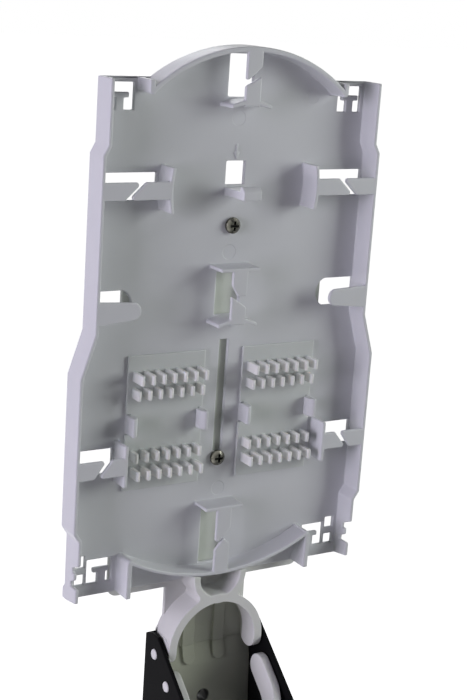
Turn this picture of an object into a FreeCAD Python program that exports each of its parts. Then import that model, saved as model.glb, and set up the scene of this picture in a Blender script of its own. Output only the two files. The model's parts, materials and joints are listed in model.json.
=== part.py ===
import FreeCAD, Part

import math
import os

import Sketcher

# Driving sizes in millimetres. Half widths run out from the centre line, levels run up from
# the middle of the tray, and heights run out from the front of the tray's floor.
SIZES = {
    # Tray moulding
    "floor_thickness": 1.7,
    "rim_height": 8.55,
    "wall_thickness": 1.5,
    "head_half": 54.6,
    "waist_half": 56.45,
    "hip_half": 61.4,
    "foot_half": 59.3,
    "head_level": 95.0,
    "shoulder_high": 73.2,
    "shoulder_low": 69.8,
    "hip_high": 9.2,
    "hip_low": -6.3,
    "ankle_high": -62.3,
    "ankle_low": -65.5,
    "side_wall_end": -74.5,
    "foot_level": -90.5,
    # Arch wall at the top and the stub wall at each of its ends
    "arch_radius": 59.5,
    "arch_top": 106.6,
    "arch_wall": 1.8,
    "arch_half": 38.7,
    "stub_wall": 1.5,
    "stub_round": 1.4,
    "arch_stub_end": 94.8,
    # Bowl wall at the bottom
    "bowl_radius": 78.5,
    "bowl_low": -87.0,
    "bowl_wall": 1.4,
    "bowl_half": 38.0,
    # Stepped ends of the side walls
    "slant_end": -76.6,
    "step_first": -78.4,
    "step_second": -80.9,
    "step_third": -82.1,
    "hook_start": -83.8,
    "hook_end": -89.2,
    "step_first_height": 3.8,
    "step_second_height": 5.5,
    "step_third_height": 2.85,
    "hook_height": 7.5,
    "heel_start": -84.7,
    "heel_full": -86.3,
    "heel_drop": 1.5,
    # Tie slots round a tongue, upper and lower
    "tie_inner": 41.6,
    "tie_outer": 51.4,
    "tie_upper_top": 93.1,
    "tie_upper_bar": 89.8,
    "tie_upper_low": 83.9,
    "tongue_inner": 43.3,
    "tongue_outer": 50.5,
    "tongue_head": 1.9,
    "neck_inner": 45.2,
    "neck_outer": 48.4,
    "tie_lower_top": -76.7,
    "tie_lower_bar": -80.0,
    "tie_lower_low": -85.8,
    "peg_inner": 42.5,
    "peg_outer": 48.9,
    "peg_neck_inner": 43.7,
    "peg_neck_outer": 47.1,
    "tie_hole_margin": 1.8,
    "tie_hole_width": 3.8,
    "tie_hole_high_top": -74.9,
    "tie_hole_high_low": -79.3,
    "tie_hole_low_top": -81.9,
    "tie_hole_low_low": -85.8,
    # Retaining tabs at the rim and the curved guides that carry them
    "tab_thickness": 1.5,
    "tab_root": 0.6,
    "hole_margin": 1.3,
    "corner_round": 1.0,
    "guide_wall": 1.5,
    "guide_bow": 38.0,
    "upper_guide": 28.4,
    "upper_guide_top": 65.5,
    "upper_guide_low": 49.8,
    "upper_tab_top": 60.8,
    "upper_tab_low": 54.7,
    "upper_tab_inner_top": 39.6,
    "upper_tab_inner_low": 46.1,
    "upper_tab_outer_top": 40.8,
    "upper_tab_outer_low": 47.3,
    "upper_hole_inner": 31.5,
    "upper_hole_top": 62.8,
    "middle_root_top": 20.4,
    "middle_root_low": 12.0,
    "middle_tip_top": 19.6,
    "middle_tip_low": 13.4,
    "middle_tip": 41.3,
    "middle_tip_radius": 3.3,
    "middle_hole_tip": 42.4,
    "middle_hole_radius": 5.5,
    "middle_hole_top": 22.0,
    "middle_hole_low": 11.7,
    "lower_guide": 41.2,
    "lower_guide_top": -32.0,
    "lower_guide_low": -47.5,
    "lower_tab_top": -36.4,
    "lower_tab_low": -42.9,
    "lower_tab_inner_top": 47.3,
    "lower_tab_inner_low": 52.7,
    "lower_tab_outer_top": 49.4,
    "lower_tab_outer_low": 54.2,
    "lower_hole_inner": 43.5,
    # Guides on the centre line, each a pair of tabs with a slanted gap
    "centre_half": 8.0,
    "centre_bow": 20.0,
    "centre_wall": 1.4,
    "centre_tab_half": 3.1,
    "centre_hole_half": 4.9,
    "top_guide_level": 86.8,
    "top_hole_low": 88.7,
    "top_hole_margin": 3.1,
    "top_tab_long": 95.4,
    "top_tab_short": 99.9,
    "top_tab_point": -1.9,
    "top_rise_short": 93.2,
    "top_rise_long": 96.4,
    "middle_guide_high": 29.6,
    "middle_guide_low": 9.4,
    "middle_opening_top": 26.6,
    "middle_opening_low": 11.0,
    "middle_drop_short": 23.3,
    "middle_drop_long": 19.3,
    "middle_drop_point": -0.5,
    "middle_rise_long": 19.4,
    "middle_rise_short": 15.2,
    "bottom_guide_level": -60.0,
    "bottom_hole_top": -62.6,
    "bottom_hole_margin": 2.1,
    "bottom_drop_short": -69.0,
    "bottom_drop_long": -73.0,
    "bottom_drop_point": -2.2,
    "bottom_drop_tip": -74.0,
    "bottom_rise_left": -77.0,
    "bottom_rise_peak": -72.7,
    "bottom_rise_point": 0.5,
    "bottom_rise_right": -74.9,
    # Cover latch below its window
    "latch_half": 3.7,
    "latch_low": 54.2,
    "latch_top": 57.2,
    "latch_lip": 1.7,
    "latch_height": 12.7,
    "latch_head": 3.0,
    "latch_lead": 1.5,
    "window_low": 58.1,
    "window_top": 66.5,
    # Raised arrow
    "arrow_top": 72.4,
    "arrow_neck": 69.6,
    "arrow_tip": 66.9,
    "arrow_shaft": 0.45,
    "arrow_head": 1.2,
    "arrow_height": 0.3,
    # Centre slot and screws
    "slot_half": 1.75,
    "slot_top": 1.5,
    "slot_low": -41.2,
    "screw_level": 43.5,
    "screw_hole": 1.7,
    "shank_radius": 1.45,
    "head_radius": 2.9,
    "head_height": 2.2,
    "head_edge": 1.2,
    "head_crown": 1.5,
    "screw_length": 8.0,
    "screw_point": 1.0,
    "recess_half": 1.7,
    "recess_slot": 0.42,
    "recess_depth": 1.3,
    # Splice holders and the clips that hold them
    "holder_mid": 23.55,
    "holder_level": -26.6,
    "holder_half_width": 15.55,
    "holder_half_length": 25.0,
    "holder_thickness": 1.0,
    "fin_count": 7,
    "fin_pitch": 4.3,
    "fin_thickness": 1.45,
    "fin_outer_far": 19.4,
    "fin_outer_near": 15.8,
    "fin_inner_far": 13.3,
    "fin_inner_near": 9.7,
    "fin_outer_height": 7.0,
    "fin_inner_height": 5.0,
    "fin_chamfer": 0.45,
    "clip_half_length": 3.5,
    "clip_inset": 0.3,
    "clip_post": 1.2,
    "clip_reach": 2.6,
    "clip_height": 6.4,
    "clip_lead": 4.6,
    "clip_gap": 0.25,
    "notch_gap": 0.3,
    # Carrier behind the tray
    "carrier_thickness": 1.7,
    "carrier_half": 41.7,
    "carrier_top": 50.0,
    "carrier_low": -93.45,
    "carrier_corner": 4.0,
    "neck_half": 17.5,
    "boss_radius": 3.2,
    "boss_length": 5.5,
    "boss_bore": 1.5,
    "ring_rim": 8.8,
    "ring_inner": 17.0,
    "ring_outer": 20.26,
    "ring_rise": 3.2,
    "ring_overlap": 3.56,
    "ear_rise": 2.45,
    "throat_inner": 8.55,
    "throat_outer": 11.2,
    "throat_drop": 0.3,
    "throat_gap": 0.15,
    "throat_fillet": 2.0,
    "neck_end": 0.6,
    "bead_mid": 6.65,
    "bead_half": 2.55,
    "bead_height": 1.0,
    "bead_tail": 7.4,
    "bead_round": 2.3,
    # Hinge bracket, measured from its fixing hole and its back face
    "floor_stand": 5.5,
    "bracket_half": 22.6,
    "sheet_thickness": 1.5,
    "bracket_drop": 15.0,
    "back_top": 27.6,
    "shoulder_up": 29.5,
    "shoulder_out": 5.0,
    "nose_up": 29.2,
    "nose_out": 9.1,
    "front_up": 3.0,
    "front_out": 41.5,
    "fixing_radius": 2.1,
    "pivot_up": 21.6,
    "pivot_out": 7.1,
    "yoke_pivot_up": 13.0,
    "yoke_pivot_out": 17.2,
    "pin_radius": 2.05,
    "pin_gap": 0.05,
    "pin_proud": 0.3,
    "side_gap": 0.3,
    # Sloping floor of the trough between the flanges
    "ramp_gap": 0.08,
    "ramp_bend_up": 13.0,
    "ramp_bend_out": 6.4,
    "ramp_end_up": -12.5,
    "ramp_end_out": 8.2,
    "ramp_thickness": 2.0,
    "ramp_lip": 2.3,
    "ramp_boss": 4.0,
    "ramp_hole": 2.4,
    # Yoke on the second pair of pins
    "yoke_fold_angle": 130.0,
    "yoke_arm": 8.0,
    "yoke_half_width": 5.1,
    "yoke_wall": 3.4,
}

# How near an edge must stand to a named corner to be taken as that corner's edge
CORNER_REACH = 0.02

# The two ends of a sketch line
TAIL = 1
HEAD = 2


class Length:
    """A length that knows its number and the sheet expression it comes from."""

    def __init__(self, number, text):
        self.number = number
        self.text = text

    def __add__(self, other):
        other = length(other)
        return Length(self.number + other.number, f"({self.text} + {other.text})")

    def __sub__(self, other):
        other = length(other)
        return Length(self.number - other.number, f"({self.text} - {other.text})")

    def __mul__(self, factor):
        return Length(self.number * factor, f"({self.text} * {factor})")

    def __truediv__(self, factor):
        return Length(self.number / factor, f"({self.text} / {factor})")

    def __neg__(self):
        return Length(-self.number, f"(-1 * {self.text})")


class Sheet:
    """The driving sizes as attributes, and the places that follow from them."""

    def __init__(self, sizes):
        for name, number in sizes.items():
            setattr(self, name, Length(number, f"Sizes.{name}"))
        self.arch_mid = self.arch_top - self.arch_radius
        self.bowl_mid = self.bowl_low + self.bowl_radius
        self.throat_mid = self.bowl_low - self.throat_drop
        throat_low = self.throat_mid - self.throat_outer
        self.ring_mid = throat_low + self.ring_overlap - self.ring_outer
        self.pivot_level = self.ring_mid - self.ring_rise
        self.tray_mid = self.pivot_up - self.pivot_level


def length(value):
    """A plain number as a length."""
    return value if isinstance(value, Length) else Length(value, repr(value))


def rise(radius, half):
    """Height of a circle's edge above its centre at a given half width."""
    number = math.sqrt(radius.number ** 2 - half.number ** 2)
    return Length(number, f"sqrt({radius.text} * {radius.text} - {half.text} * {half.text})")


def fill_sheet(doc):
    """Write the sizes into the sheet as plain numbers with word aliases."""
    sheet = doc.addObject("Spreadsheet::Sheet", "Sizes")
    for row, (name, number) in enumerate(SIZES.items(), start=1):
        sheet.set(f"A{row}", name)
        sheet.set(f"B{row}", str(number))
        sheet.setAlias(f"B{row}", name)
    doc.recompute()


def new_body(label, right, up, out, fold=None):
    """A body drawn flat, stood upright, and placed by its distance from the fixing hole."""
    body = doc.addObject("PartDesign::Body", label)
    body.Label = label
    turn = 90.0 if fold is None else 90.0 + fold.number
    body.Placement = FreeCAD.Placement(
        FreeCAD.Vector(right.number, -out.number, up.number),
        FreeCAD.Rotation(FreeCAD.Vector(1, 0, 0), turn),
    )
    body.setExpression("Placement.Base.x", right.text)
    body.setExpression("Placement.Base.y", (-out).text)
    body.setExpression("Placement.Base.z", up.text)
    return body


def measured(kind, value, *places):
    """One measured constraint with the expression that drives it."""
    return Sketcher.Constraint(kind, *places, value.number), value.text


def add_constraints(sketch, constraints):
    """Add constraints in one step, then tie the measured ones to the sheet."""
    first = sketch.ConstraintCount
    sketch.addConstraint([constraint for constraint, _ in constraints])
    for index, (_, text) in enumerate(constraints, start=first):
        if text:
            sketch.setExpression(f"Constraints[{index}]", text)


def arc(tail, head, radius):
    """Arc shorter than a half circle, anticlockwise for a positive radius."""
    chord = head - tail
    reach = math.sqrt(radius ** 2 - (chord.Length / 2) ** 2)
    left = FreeCAD.Vector(-chord.y, chord.x, 0).normalize()
    centre = (tail + head) / 2 + left * math.copysign(reach, radius)
    first, last = (tail, head) if radius > 0 else (head, tail)
    start = math.atan2(first.y - centre.y, first.x - centre.x)
    stop = math.atan2(last.y - centre.y, last.x - centre.x)
    if stop < start:
        stop += 2 * math.pi
    circle = Part.Circle(centre, FreeCAD.Vector(0, 0, 1), abs(radius))
    return Part.ArcOfCircle(circle, start, stop)


def draw_loop(sketch, corners):
    """Closed outline through the corners. A third value is the radius of the arc that leads
    to that corner, negative where the arc turns clockwise."""
    points = [FreeCAD.Vector(length(c[0]).number, length(c[1]).number, 0) for c in corners]
    edges = []
    constraints = []
    for index, corner in enumerate(corners):
        tail = points[index - 1]
        head = points[index]
        if len(corner) == 3:
            geometry = sketch.addGeometry(arc(tail, head, corner[2].number), False)
            ends = (TAIL, HEAD) if corner[2].number > 0 else (HEAD, TAIL)
            radius = corner[2] if corner[2].number > 0 else -corner[2]
            constraints.append(measured("Radius", radius, geometry))
        else:
            geometry = sketch.addGeometry(Part.LineSegment(tail, head), False)
            ends = (TAIL, HEAD)
        edges.append((geometry, ends))
    for index, (geometry, (start, end)) in enumerate(edges):
        corner = corners[index - 1]
        constraints.append(measured("DistanceX", length(corner[0]), -1, 1, geometry, start))
        constraints.append(measured("DistanceY", length(corner[1]), -1, 1, geometry, start))
        following, (next_start, _) = edges[(index + 1) % len(edges)]
        joined = Sketcher.Constraint("Coincident", geometry, end, following, next_start)
        constraints.append((joined, ""))
    add_constraints(sketch, constraints)


def draw_circle(sketch, across, up, radius):
    """Circle placed and sized from the sheet."""
    across = length(across)
    up = length(up)
    centre = FreeCAD.Vector(across.number, up.number, 0)
    circle = Part.Circle(centre, FreeCAD.Vector(0, 0, 1), radius.number)
    geometry = sketch.addGeometry(circle, False)
    add_constraints(sketch, [
        measured("Radius", radius, geometry),
        measured("DistanceX", across, -1, 1, geometry, 3),
        measured("DistanceY", up, -1, 1, geometry, 3),
    ])


def new_sketch(body, label, role, offset):
    """Empty sketch on one of the body's planes, moved along the plane's normal."""
    plane = next(item for item in body.Origin.OriginFeatures if item.Role == role)
    sketch = body.newObject("Sketcher::SketchObject", label)
    sketch.AttachmentSupport = [(plane, "")]
    sketch.MapMode = "FlatFace"
    offset = length(offset)
    sketch.AttachmentOffset = FreeCAD.Placement(
        FreeCAD.Vector(0, 0, offset.number), FreeCAD.Rotation()
    )
    sketch.setExpression("AttachmentOffset.Base.z", offset.text)
    return sketch


def fill_sketch(body, label, role, offset, shapes):
    """Sketch that holds closed outlines and circles."""
    sketch = new_sketch(body, label, role, offset)
    for shape in shapes:
        if isinstance(shape, tuple):
            draw_circle(sketch, *shape)
        else:
            draw_loop(sketch, shape)
    return sketch


def pad(body, label, shapes, start, thickness, role="XY_Plane"):
    """Raise outlines from a level by a thickness."""
    sketch = fill_sketch(body, label + "_sketch", role, start, shapes)
    feature = body.newObject("PartDesign::Pad", label)
    feature.Profile = sketch
    feature.Length = thickness.number
    feature.setExpression("Length", thickness.text)
    return feature


def cut(body, label, shapes, start, depth, role="XY_Plane"):
    """Sink outlines from a level against the plane's normal by a depth."""
    sketch = fill_sketch(body, label + "_sketch", role, start, shapes)
    feature = body.newObject("PartDesign::Pocket", label)
    feature.Profile = sketch
    feature.Length = depth.number
    feature.setExpression("Length", depth.text)
    return feature


def mirrored(corners):
    """The same outline on the other side of the centre line."""
    return [(-length(c[0]), c[1]) + tuple(-radius for radius in c[2:]) for c in corners]


def both(*loops):
    """Outlines with their mirror images."""
    return [shape for loop in loops for shape in (loop, mirrored(loop))]


def box(left, low, right, top):
    """Rectangle by its corners."""
    return [(left, low), (right, low), (right, top), (left, top)]


def round_corners(body, label, corners, radius):
    """Round the upright edges that stand at the given corners."""
    doc.recompute()
    base = body.Tip
    chosen = []
    for index, edge in enumerate(base.Shape.Edges, start=1):
        ends = [vertex.Point for vertex in edge.Vertexes]
        if len(ends) != 2:
            continue
        for corner in corners:
            place = (length(corner[0]).number, length(corner[1]).number)
            if all(math.dist((point.x, point.y), place) < CORNER_REACH for point in ends):
                chosen.append(f"Edge{index}")
    feature = body.newObject("PartDesign::Fillet", label)
    feature.Base = (base, chosen)
    feature.Radius = radius.number
    feature.setExpression("Radius", radius.text)
    return feature


def flipped(points):
    """Points with their mirror images across the centre line."""
    return points + [(-length(point[0]), point[1]) for point in points]


def tie_slot(top, low, bar, head, neck):
    """Slot that a cable tie passes, round a tongue with a wider head."""
    head_inner, head_outer = head
    neck_inner, neck_outer = neck
    head_foot = bar - size.tongue_head
    return [
        (size.tie_inner, top),
        (size.tie_inner, low),
        (neck_inner, low),
        (neck_inner, head_foot),
        (head_inner, head_foot),
        (head_inner, bar),
        (head_outer, bar),
        (head_outer, head_foot),
        (neck_outer, head_foot),
        (neck_outer, low),
        (size.tie_outer, low),
        (size.tie_outer, top),
    ]


def make_tray_floor(body):
    """Floor plate with its tab windows, tie slots, centre slot and screw holes."""
    side = [
        (size.foot_half, size.foot_level),
        (size.foot_half, size.ankle_low),
        (size.hip_half, size.ankle_high),
        (size.hip_half, size.hip_low),
        (size.waist_half, size.hip_high),
        (size.waist_half, size.shoulder_low),
        (size.head_half, size.shoulder_high),
        (size.head_half, size.head_level),
        (rise(size.arch_radius, size.head_level - size.arch_mid), size.head_level),
    ]
    far_side = [(-corner[0], corner[1]) for corner in reversed(side)]
    far_side[0] = far_side[0] + (size.arch_radius,)
    crest = (length(0), size.arch_top, size.arch_radius)
    outline = side + [crest] + far_side
    pad(body, "floor", [outline], -size.floor_thickness, size.floor_thickness)

    upper_tie = tie_slot(
        size.tie_upper_top, size.tie_upper_low, size.tie_upper_bar,
        (size.tongue_inner, size.tongue_outer), (size.neck_inner, size.neck_outer),
    )
    lower_tie = tie_slot(
        size.tie_lower_top, size.tie_lower_low, size.tie_lower_bar,
        (size.peg_inner, size.peg_outer), (size.peg_neck_inner, size.peg_neck_outer),
    )
    tie_hole_outer = size.foot_half - size.wall_thickness - size.tie_hole_margin
    tie_hole_inner = tie_hole_outer - size.tie_hole_width
    tie_holes = [
        box(tie_hole_inner, low, tie_hole_outer, top)
        for low, top in (
            (size.tie_hole_high_low, size.tie_hole_high_top),
            (size.tie_hole_low_low, size.tie_hole_low_top),
        )
    ]
    waist_face = size.waist_half - size.wall_thickness
    hip_face = size.hip_half - size.wall_thickness
    upper_window = box(
        size.upper_hole_inner,
        size.upper_tab_low - size.hole_margin,
        waist_face - size.tab_root,
        size.upper_hole_top,
    )
    middle_window = [
        (waist_face, size.middle_hole_low),
        (waist_face, size.middle_hole_top),
        (size.middle_hole_tip, size.middle_hole_top),
        (size.middle_hole_tip, size.middle_hole_low, size.middle_hole_radius),
    ]
    lower_window = box(
        size.lower_hole_inner,
        size.lower_tab_low - size.hole_margin,
        hip_face - size.tab_root,
        size.lower_tab_top + size.hole_margin,
    )
    side_holes = both(
        upper_tie, lower_tie, *tie_holes, upper_window, middle_window, lower_window
    )
    half = size.centre_hole_half
    top_hole_top = size.arch_top - size.top_hole_margin
    bottom_hole_low = size.bowl_low + size.bottom_hole_margin
    centre_holes = [
        box(-half, size.top_hole_low, half, top_hole_top),
        box(-half, size.middle_opening_low, half, size.middle_opening_top),
        box(-half, bottom_hole_low, half, size.bottom_hole_top),
        box(-size.latch_half, size.window_low, size.latch_half, size.window_top),
        box(-size.slot_half, size.slot_low, size.slot_half, size.slot_top),
        (0, size.screw_level, size.screw_hole),
        (0, -size.screw_level, size.screw_hole),
    ]
    through = size.floor_thickness * 2
    cut(body, "side_holes", side_holes, 0, through)
    cut(body, "centre_holes", centre_holes, 0, through)
    throat = size.throat_outer + size.notch_gap
    bowl_foot = size.bowl_low + size.bowl_wall - size.throat_drop
    notch = box(-throat, size.foot_level - size.hole_margin, throat, bowl_foot)
    cut(body, "throat_notch", [notch], 0, through)


def make_tray_walls(body):
    """Side walls, the arch at the top and the bowl at the bottom, up to the rim."""
    wall = size.wall_thickness
    slant = wall / 4
    side_wall = [
        (size.foot_half, size.side_wall_end),
        (size.foot_half, size.ankle_low),
        (size.hip_half, size.ankle_high),
        (size.hip_half, size.hip_low),
        (size.waist_half, size.hip_high),
        (size.waist_half, size.shoulder_low),
        (size.head_half, size.shoulder_high),
        (size.head_half, size.head_level),
        (size.head_half - wall, size.head_level),
        (size.head_half - wall, size.shoulder_high - slant),
        (size.waist_half - wall, size.shoulder_low - slant),
        (size.waist_half - wall, size.hip_high - slant),
        (size.hip_half - wall, size.hip_low - slant),
        (size.hip_half - wall, size.ankle_high + slant),
        (size.foot_half - wall, size.ankle_low + slant),
        (size.foot_half - wall, size.side_wall_end),
    ]
    arch_inner = size.arch_radius - size.arch_wall
    half = size.arch_half
    outer_foot = size.arch_mid + rise(size.arch_radius, half)
    inner_foot = size.arch_mid + rise(arch_inner, half)
    zero = length(0)
    arch = [
        (half, outer_foot),
        (zero, size.arch_top, size.arch_radius),
        (-half, outer_foot, size.arch_radius),
        (-half, inner_foot),
        (zero, size.arch_mid + arch_inner, -arch_inner),
        (half, inner_foot, -arch_inner),
    ]
    arch_stub = box(half - size.tab_root, inner_foot, half + size.stub_wall, size.arch_stub_end)
    bowl_inner = size.bowl_radius - size.bowl_wall
    bowl_edge = size.bowl_half
    outer_side = size.bowl_mid - rise(size.bowl_radius, bowl_edge)
    inner_side = size.bowl_mid - rise(bowl_inner, bowl_edge)
    bowl = [
        (-bowl_edge, outer_side),
        (zero, size.bowl_low, size.bowl_radius),
        (bowl_edge, outer_side, size.bowl_radius),
        (bowl_edge, inner_side),
        (zero, size.bowl_mid - bowl_inner, -bowl_inner),
        (-bowl_edge, inner_side, -bowl_inner),
    ]
    bowl_stub = box(
        bowl_edge - size.tab_root, size.foot_level, bowl_edge + size.stub_wall, inner_side
    )
    height = size.rim_height + size.floor_thickness
    pad(body, "side_walls", both(side_wall), -size.floor_thickness, height)
    pad(body, "arch_wall", [arch], -size.floor_thickness, height)
    pad(body, "bowl_wall", [bowl], -size.floor_thickness, height)
    stub_height = size.rim_height + size.floor_thickness / 2
    pad(body, "stubs", both(arch_stub, bowl_stub), -size.floor_thickness / 2, stub_height)
    bends = [(half + size.stub_wall, inner_foot), (bowl_edge + size.stub_wall, inner_side)]
    round_corners(body, "stub_rounds", flipped(bends), size.stub_round)


def make_wall_steps(body):
    """Stepped tail of each side wall with the hook that a tube tie bears on."""
    back = -size.floor_thickness
    heel = back - size.heel_drop
    tail = [
        (size.foot_level, heel),
        (size.heel_full, heel),
        (size.heel_start, back),
        (size.side_wall_end + size.tab_root, back),
        (size.side_wall_end + size.tab_root, size.rim_height),
        (size.side_wall_end, size.rim_height),
        (size.slant_end, size.step_first_height),
        (size.step_first, size.step_first_height),
        (size.step_first, size.step_second_height),
        (size.step_second, size.step_second_height),
        (size.step_third, size.step_third_height),
        (size.hook_start, size.step_third_height),
        (size.hook_start, size.hook_height),
        (size.hook_end, size.hook_height),
        (size.foot_level, length(0)),
    ]
    inner = size.foot_half - size.wall_thickness
    pad(body, "right_tail", [tail], inner, size.wall_thickness, "YZ_Plane")
    pad(body, "left_tail", [tail], -size.foot_half, size.wall_thickness, "YZ_Plane")


def make_side_guides(body):
    """Upright guides beside the tabs, the upper pair bowed outwards."""
    inner = size.upper_guide
    outer = size.upper_guide + size.guide_wall
    upper = [
        (inner, size.upper_guide_low, -size.guide_bow),
        (outer, size.upper_guide_low),
        (outer, size.upper_guide_top, size.guide_bow),
        (inner, size.upper_guide_top),
    ]
    lower = box(
        size.lower_guide,
        size.lower_guide_low,
        size.lower_guide + size.guide_wall,
        size.lower_guide_top,
    )
    start = -size.floor_thickness / 2
    pad(body, "side_guides", both(upper, lower), start, size.rim_height - start)


def make_side_tabs(body):
    """Pairs of tabs at the rim, with a slanted gap that a fibre slips through."""
    start = size.rim_height - size.tab_thickness
    upper_root = size.upper_guide + size.tab_root * 2
    upper_inner = [
        (upper_root, size.upper_tab_low),
        (size.upper_tab_inner_low, size.upper_tab_low),
        (size.upper_tab_inner_top, size.upper_tab_top),
        (upper_root, size.upper_tab_top),
    ]
    waist_root = size.waist_half - size.tab_root
    upper_outer = [
        (waist_root, size.upper_tab_low),
        (waist_root, size.upper_tab_top),
        (size.upper_tab_outer_top, size.upper_tab_top),
        (size.upper_tab_outer_low, size.upper_tab_low),
    ]
    middle = [
        (waist_root, size.middle_root_low),
        (waist_root, size.middle_root_top),
        (size.middle_tip, size.middle_tip_top),
        (size.middle_tip, size.middle_tip_low, size.middle_tip_radius),
    ]
    lower_root = size.lower_guide + size.tab_root
    lower_inner = [
        (lower_root, size.lower_tab_low),
        (size.lower_tab_inner_low, size.lower_tab_low),
        (size.lower_tab_inner_top, size.lower_tab_top),
        (lower_root, size.lower_tab_top),
    ]
    hip_root = size.hip_half - size.tab_root
    lower_outer = [
        (hip_root, size.lower_tab_low),
        (hip_root, size.lower_tab_top),
        (size.lower_tab_outer_top, size.lower_tab_top),
        (size.lower_tab_outer_low, size.lower_tab_low),
    ]
    shapes = both(upper_inner, upper_outer, middle, lower_inner, lower_outer)
    pad(body, "side_tabs", shapes, start, size.tab_thickness)
    tips = [
        upper_inner[1], upper_inner[2], upper_outer[2], upper_outer[3],
        lower_inner[1], lower_inner[2], lower_outer[2], lower_outer[3],
    ]
    round_corners(body, "side_tab_rounds", flipped(tips), size.corner_round)


def bowed_wall(level):
    """Short wall across the centre line whose middle rises above its ends."""
    half = size.centre_half
    low = level - size.centre_wall
    return [
        (-half, low),
        (half, low, -size.centre_bow),
        (half, level),
        (-half, level, size.centre_bow),
    ]


def straight_wall(level):
    """Short straight wall across the centre line."""
    return box(-size.centre_half, level - size.centre_wall, size.centre_half, level)


def make_centre_guides(body):
    """Three guides on the centre line: cross walls, and tabs that face each other."""
    start = -size.floor_thickness / 2
    walls = [
        bowed_wall(size.top_guide_level),
        straight_wall(size.middle_guide_high),
        bowed_wall(size.middle_guide_low),
        straight_wall(size.bottom_guide_level),
    ]
    pad(body, "centre_walls", walls, start, size.rim_height - start)

    half = size.centre_tab_half
    arch_root = size.arch_top - size.tab_root
    bowl_root = size.bowl_low + size.tab_root
    top_drop = [
        (half, arch_root),
        (-half, arch_root),
        (-half, size.top_tab_long),
        (size.top_tab_point, size.top_tab_long),
        (half, size.top_tab_short),
    ]
    top_rise = [
        (-half, size.top_guide_level - size.tab_root),
        (half, size.top_guide_level - size.tab_root),
        (half, size.top_rise_long),
        (-half, size.top_rise_short),
    ]
    middle_drop = [
        (half, size.middle_guide_high - size.tab_root),
        (-half, size.middle_guide_high - size.tab_root),
        (-half, size.middle_drop_short),
        (size.middle_drop_point, size.middle_drop_long),
        (half, size.middle_drop_long),
    ]
    middle_rise = [
        (-half, size.middle_guide_low - size.tab_root),
        (half, size.middle_guide_low - size.tab_root),
        (half, size.middle_rise_short),
        (-half, size.middle_rise_long),
    ]
    bottom_drop = [
        (half, size.bottom_guide_level - size.tab_root),
        (-half, size.bottom_guide_level - size.tab_root),
        (-half, size.bottom_drop_long),
        (size.bottom_drop_point, size.bottom_drop_tip),
        (half, size.bottom_drop_short),
    ]
    bottom_rise = [
        (-half, bowl_root),
        (half, bowl_root),
        (half, size.bottom_rise_right),
        (size.bottom_rise_point, size.bottom_rise_peak),
        (-half, size.bottom_rise_left),
    ]
    tabs = [top_drop, top_rise, middle_drop, middle_rise, bottom_drop, bottom_rise]
    pad(body, "centre_tabs", tabs, size.rim_height - size.tab_thickness, size.tab_thickness)


def make_latch(body):
    """Springy hook that holds the cover, and the arrow that points at it."""
    neck = size.latch_height - size.latch_head
    lip = size.latch_top + size.latch_lip
    hook = [
        (size.latch_low, -size.floor_thickness / 2),
        (size.latch_top, -size.floor_thickness / 2),
        (size.latch_top, neck),
        (lip, neck),
        (lip, size.latch_height - size.latch_lead),
        (lip - size.latch_lead, size.latch_height),
        (size.latch_low, size.latch_height),
    ]
    pad(body, "latch", [hook], -size.latch_half, size.latch_half * 2, "YZ_Plane")
    shaft = size.arrow_shaft
    arrow = [
        (length(0), size.arrow_tip),
        (size.arrow_head, size.arrow_neck),
        (shaft, size.arrow_neck),
        (shaft, size.arrow_top),
        (-shaft, size.arrow_top),
        (-shaft, size.arrow_neck),
        (-size.arrow_head, size.arrow_neck),
    ]
    start = -size.floor_thickness / 2
    pad(body, "arrow", [arrow], start, size.arrow_height - start)


def make_clips(body):
    """Snap clips that stand in the notches of the splice holders."""
    under = size.holder_thickness + size.clip_gap
    profiles = []
    for away in (1, -1):
        face = size.holder_mid + (size.holder_half_width - size.clip_inset) * away
        post = face - size.clip_post * away
        reach = face - size.clip_reach * away
        profiles += both([
            (face, -size.floor_thickness / 2),
            (face, size.clip_height),
            (post, size.clip_height),
            (reach, size.clip_lead),
            (reach, under),
            (post, under),
            (post, -size.floor_thickness / 2),
        ])
    start = -size.holder_level - size.clip_half_length
    pad(body, "clips", profiles, start, size.clip_half_length * 2, "XZ_Plane")


def make_tray():
    """The splice tray, one white moulding."""
    body = new_body("splice_tray", length(0), size.tray_mid, size.floor_stand)
    make_tray_floor(body)
    make_tray_walls(body)
    make_wall_steps(body)
    make_side_guides(body)
    make_side_tabs(body)
    make_centre_guides(body)
    make_latch(body)
    make_clips(body)


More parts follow.
